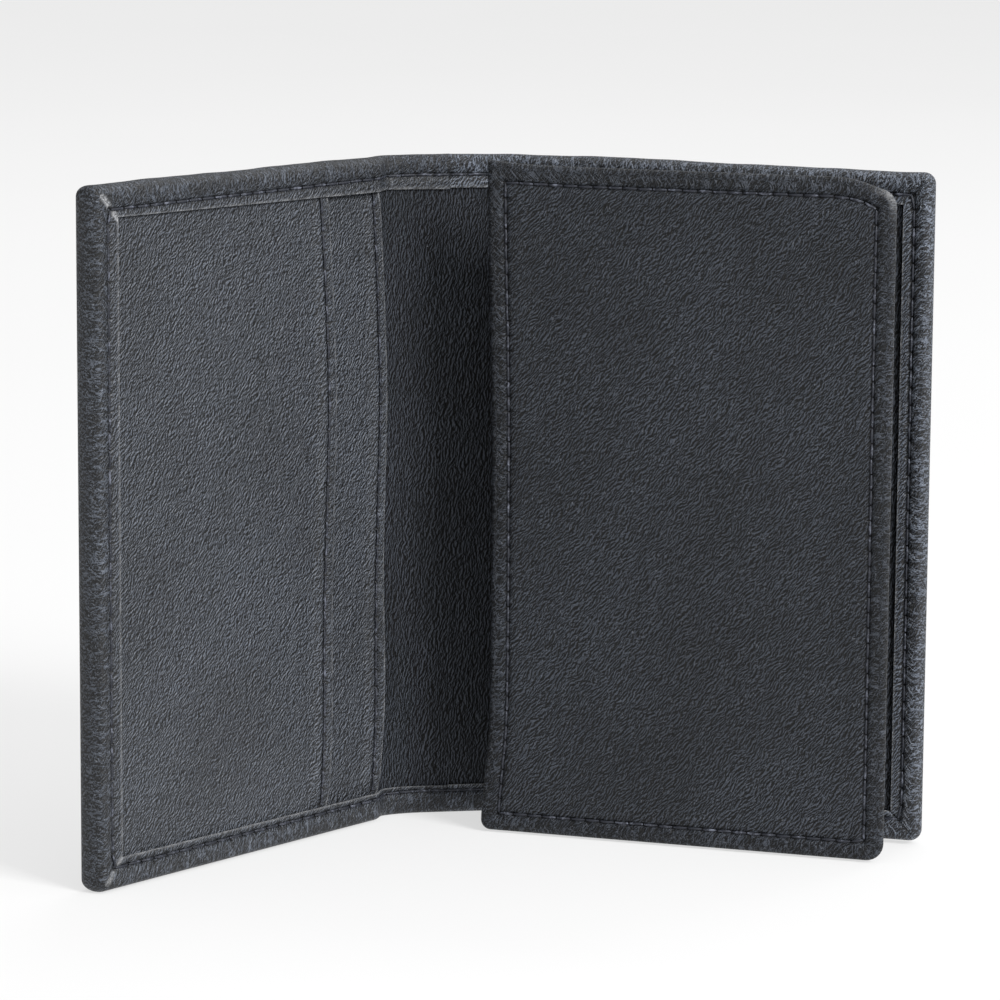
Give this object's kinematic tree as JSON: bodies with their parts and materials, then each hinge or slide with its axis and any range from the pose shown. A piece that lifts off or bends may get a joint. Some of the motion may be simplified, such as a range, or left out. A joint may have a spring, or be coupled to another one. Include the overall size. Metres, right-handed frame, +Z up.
{
  "type": "bifold card holder",
  "caption": "Upright bifold card holder in turned-edge leather, with card slots in one cover and a gusseted pocket that expands in the other.",
  "frame": {"origin": "middle of the footprint's bounding box, on the surface that the holder stands on", "axes": "+Z up along the covers' height, +X along the right cover towards its fore edge, -Y the way the right cover's inside faces"},
  "size_m": [0.1118, 0.074, 0.105],
  "materials": {
    "outer_leather": "semi-matte pebbled grain, blue-black",
    "lining_leather": "thin, matte, blue-black",
    "fabric": "plain woven, black",
    "board": "pressed fibre board",
    "thread": "bonded polyester thread, blue-black"
  },
  "bodies": {
    "right_cover": {"cover_leather_right": "outer_leather", "cover_board_right": "board", "cover_lining_right": "lining_leather", "cover_seam_right": "thread", "pocket_gusset": "lining_leather"},
    "pocket_panel": {"panel_leather": "outer_leather", "panel_board": "board", "panel_lining": "lining_leather", "panel_seam": "thread"},
    "spine": {"spine_leather": "outer_leather", "spine_interlining": "fabric", "spine_lining": "lining_leather", "spine_seam_top": "thread", "spine_seam_bottom": "thread"},
    "left_cover": {"cover_leather_left": "outer_leather", "cover_board_left": "board", "cover_lining_left": "lining_leather", "slot_back_leather": "lining_leather", "slot_leather_inner": "outer_leather", "slot_liner_fabric": "fabric", "slot_leather_outer": "outer_leather", "slot_seam_inner": "thread", "slot_seam_outer": "thread", "cover_seam_left": "thread"}
  },
  "joints": [
    {"name": "right_crease", "type": "hinge", "parent": "right_cover", "child": "spine", "pos_m": [-0.01153, 0.03612, 0], "axis": [0, 0, 1], "range_deg": [-27, 59]},
    {"name": "left_crease", "type": "hinge", "parent": "spine", "child": "left_cover", "pos_m": [-0.02979, 0.02682, 0], "axis": [0, 0, 1], "range_deg": [-41, 53]},
    {"name": "pocket_expand", "type": "slide", "parent": "right_cover", "child": "pocket_panel", "axis": [0, 1, 0], "range_m": [0, 0.0091], "deforming": ["pocket_gusset"]}
  ]
}
